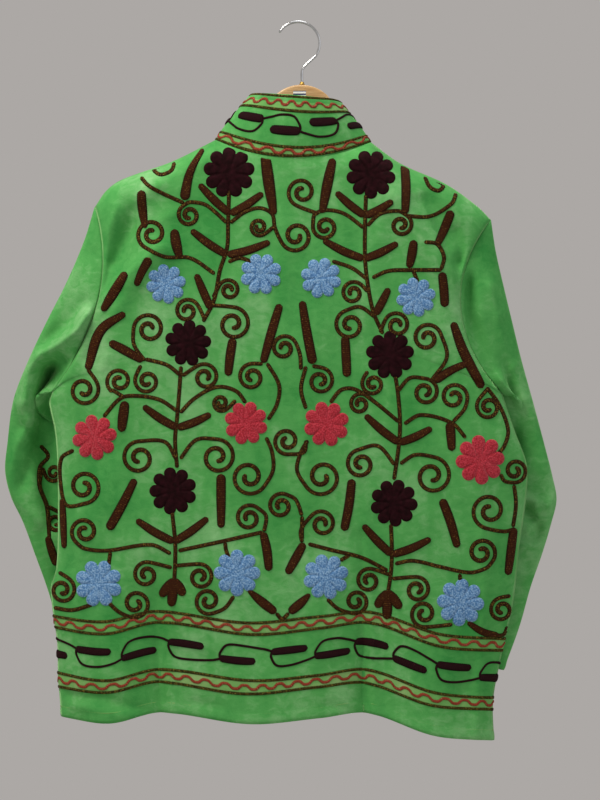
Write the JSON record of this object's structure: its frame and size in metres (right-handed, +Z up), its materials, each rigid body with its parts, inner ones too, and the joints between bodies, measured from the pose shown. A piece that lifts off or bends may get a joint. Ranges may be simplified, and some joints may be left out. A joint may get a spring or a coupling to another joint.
{
  "type": "embroidered velvet jacket on a hanger",
  "caption": "Velvet jacket with a stand collar and flower applique on its back, hanging closed on a flat wooden hanger with a wire hook",
  "frame": {"origin": "the inside of the hook's top, where the hanger hangs", "axes": "+Z up; the jacket's back faces -Y and its front +Y; the wearer's left is at -X"},
  "size_m": [0.693, 0.1099, 0.8993],
  "materials": {
    "velvet": "green cotton velvet with a brushed pile",
    "applique_dark": "dense dark maroon chain stitch",
    "applique_blue": "dense sky blue chain stitch",
    "applique_red": "dense crimson chain stitch",
    "thread_brown": "dark brown chain stitch thread",
    "label_tape": "plain striped woven tape",
    "wood": "pale varnished wood",
    "hook_wire": "chromed steel wire"
  },
  "bodies": {
    "root": {"back_panel": "velvet", "front_left": "velvet", "front_right": "velvet", "sleeve_left": "velvet", "sleeve_right": "velvet", "collar": "velvet", "flower_01": "applique_dark", "flower_02": "applique_dark", "flower_03": "applique_dark", "flower_04": "applique_dark", "flower_05": "applique_dark", "flower_06": "applique_dark", "flower_07": "applique_blue", "flower_08": "applique_blue", "flower_09": "applique_blue", "flower_10": "applique_blue", "flower_11": "applique_blue", "flower_12": "applique_blue", "flower_13": "applique_blue", "flower_14": "applique_blue", "flower_15": "applique_red", "flower_16": "applique_red", "flower_17": "applique_red", "flower_18": "applique_red", "neck_label": "label_tape", "hanger_wood": "wood", "hanger_hook": "hook_wire"}
  },
  "joints": []
}
